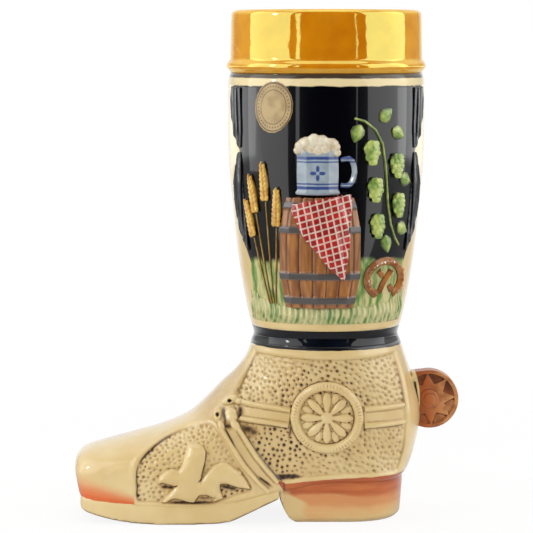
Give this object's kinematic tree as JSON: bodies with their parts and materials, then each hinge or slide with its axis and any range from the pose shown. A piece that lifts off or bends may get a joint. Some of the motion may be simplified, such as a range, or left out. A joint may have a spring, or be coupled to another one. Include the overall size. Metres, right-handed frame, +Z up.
{
  "type": "ceramic beer boot",
  "caption": "Glazed ceramic drinking boot with a gold lip, a tapered leg with a relief panel, and a shoe with spur straps.",
  "frame": {"origin": "on the table under the leg's axis, on the heel's flat face", "axes": "+Z up along the leg's axis, toe towards -X, spur towards +X, labelled side towards -Y"},
  "size_m": [0.1848, 0.101, 0.243],
  "materials": {
    "gold_lustre": "fired gold lustre over glaze, mirror bright",
    "navy_glaze": "dark blue-black gloss glaze",
    "cream_glaze": "cream gloss glaze with brown wash in the hollows",
    "heel_brown": "brushed brown stain under gloss glaze",
    "spur_brown": "brown stain under gloss glaze",
    "meadow_green": "underglaze paint under clear gloss glaze",
    "oak_brown": "underglaze paint under clear gloss glaze",
    "mug_grey": "underglaze paint under clear gloss glaze",
    "cloth_red": "underglaze paint under clear gloss glaze",
    "barley_gold": "underglaze paint under clear gloss glaze",
    "hop_green": "underglaze paint under clear gloss glaze",
    "crust_brown": "underglaze paint under clear gloss glaze",
    "label_paper": "printed paper, satin"
  },
  "bodies": {
    "root": {"lip_ring": "gold_lustre", "leg": "navy_glaze", "ankle_band": "navy_glaze", "foot": "cream_glaze", "sole": "cream_glaze", "heel": "heel_brown", "spur": "spur_brown", "label": "label_paper", "near_rosette_ring": "cream_glaze", "near_rosette_flower": "cream_glaze", "near_rear_strap": "cream_glaze", "near_front_strap": "cream_glaze", "near_sole_strap": "cream_glaze", "near_strap_tabs": "cream_glaze", "near_vamp_scroll": "cream_glaze", "near_panel_drapes": "navy_glaze", "near_meadow": "meadow_green", "near_barrel": "oak_brown", "near_mug": "mug_grey", "near_cloth": "cloth_red", "near_barley": "barley_gold", "near_hops": "hop_green", "near_pretzel": "crust_brown", "far_rosette_ring": "cream_glaze", "far_rosette_flower": "cream_glaze", "far_rear_strap": "cream_glaze", "far_front_strap": "cream_glaze", "far_sole_strap": "cream_glaze", "far_strap_tabs": "cream_glaze", "far_vamp_scroll": "cream_glaze", "far_panel_drapes": "navy_glaze", "far_meadow": "meadow_green", "far_barrel": "oak_brown", "far_mug": "mug_grey", "far_cloth": "cloth_red", "far_barley": "barley_gold", "far_hops": "hop_green", "far_pretzel": "crust_brown"}
  },
  "joints": []
}
